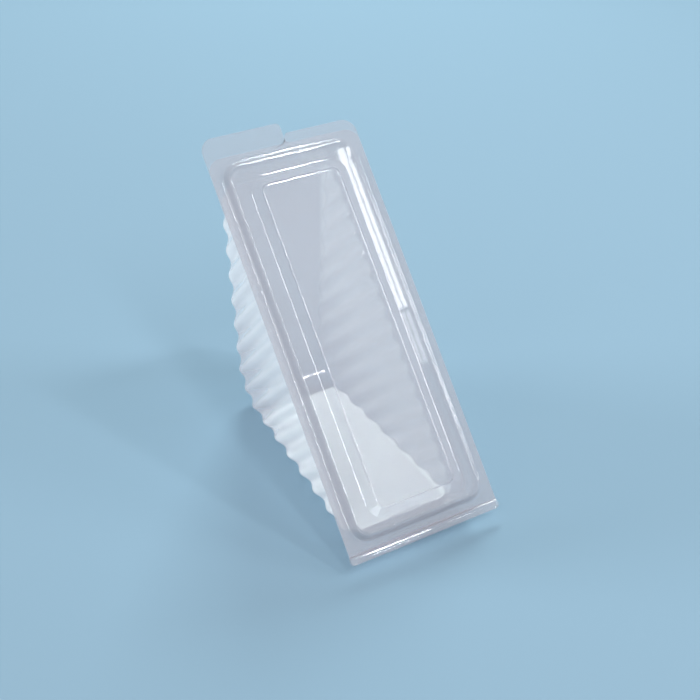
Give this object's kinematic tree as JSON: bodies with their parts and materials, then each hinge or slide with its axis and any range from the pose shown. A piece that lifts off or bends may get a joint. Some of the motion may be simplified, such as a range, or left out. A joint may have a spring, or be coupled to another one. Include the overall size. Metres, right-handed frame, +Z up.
{
  "type": "sandwich wedge pack",
  "caption": "Clear formed-plastic wedge pack: a deep right-angled tub with ribbed sides and a film-hinged lid with a raised panel.",
  "frame": {"origin": "middle of the flat stretch of the tub's lower leg, on the surface that the pack stands on", "axes": "+Z up; +X across the pack, to its right seen from the front; +Y to the back, where the upper leg stands; the lid faces -Y and +Z at 45 degrees"},
  "size_m": [0.075, 0.1386, 0.1429],
  "materials": {
    "clear_plastic": "clear, glossy, faintly milky"
  },
  "bodies": {
    "tub": {"tub": "clear_plastic"},
    "lid": {"lid": "clear_plastic"}
  },
  "joints": [
    {"name": "lid_hinge", "type": "hinge", "parent": "tub", "child": "lid", "pos_m": [0, -0.0682, 0.00545], "axis": [1, 0, 0], "range_deg": [0, 130]}
  ]
}
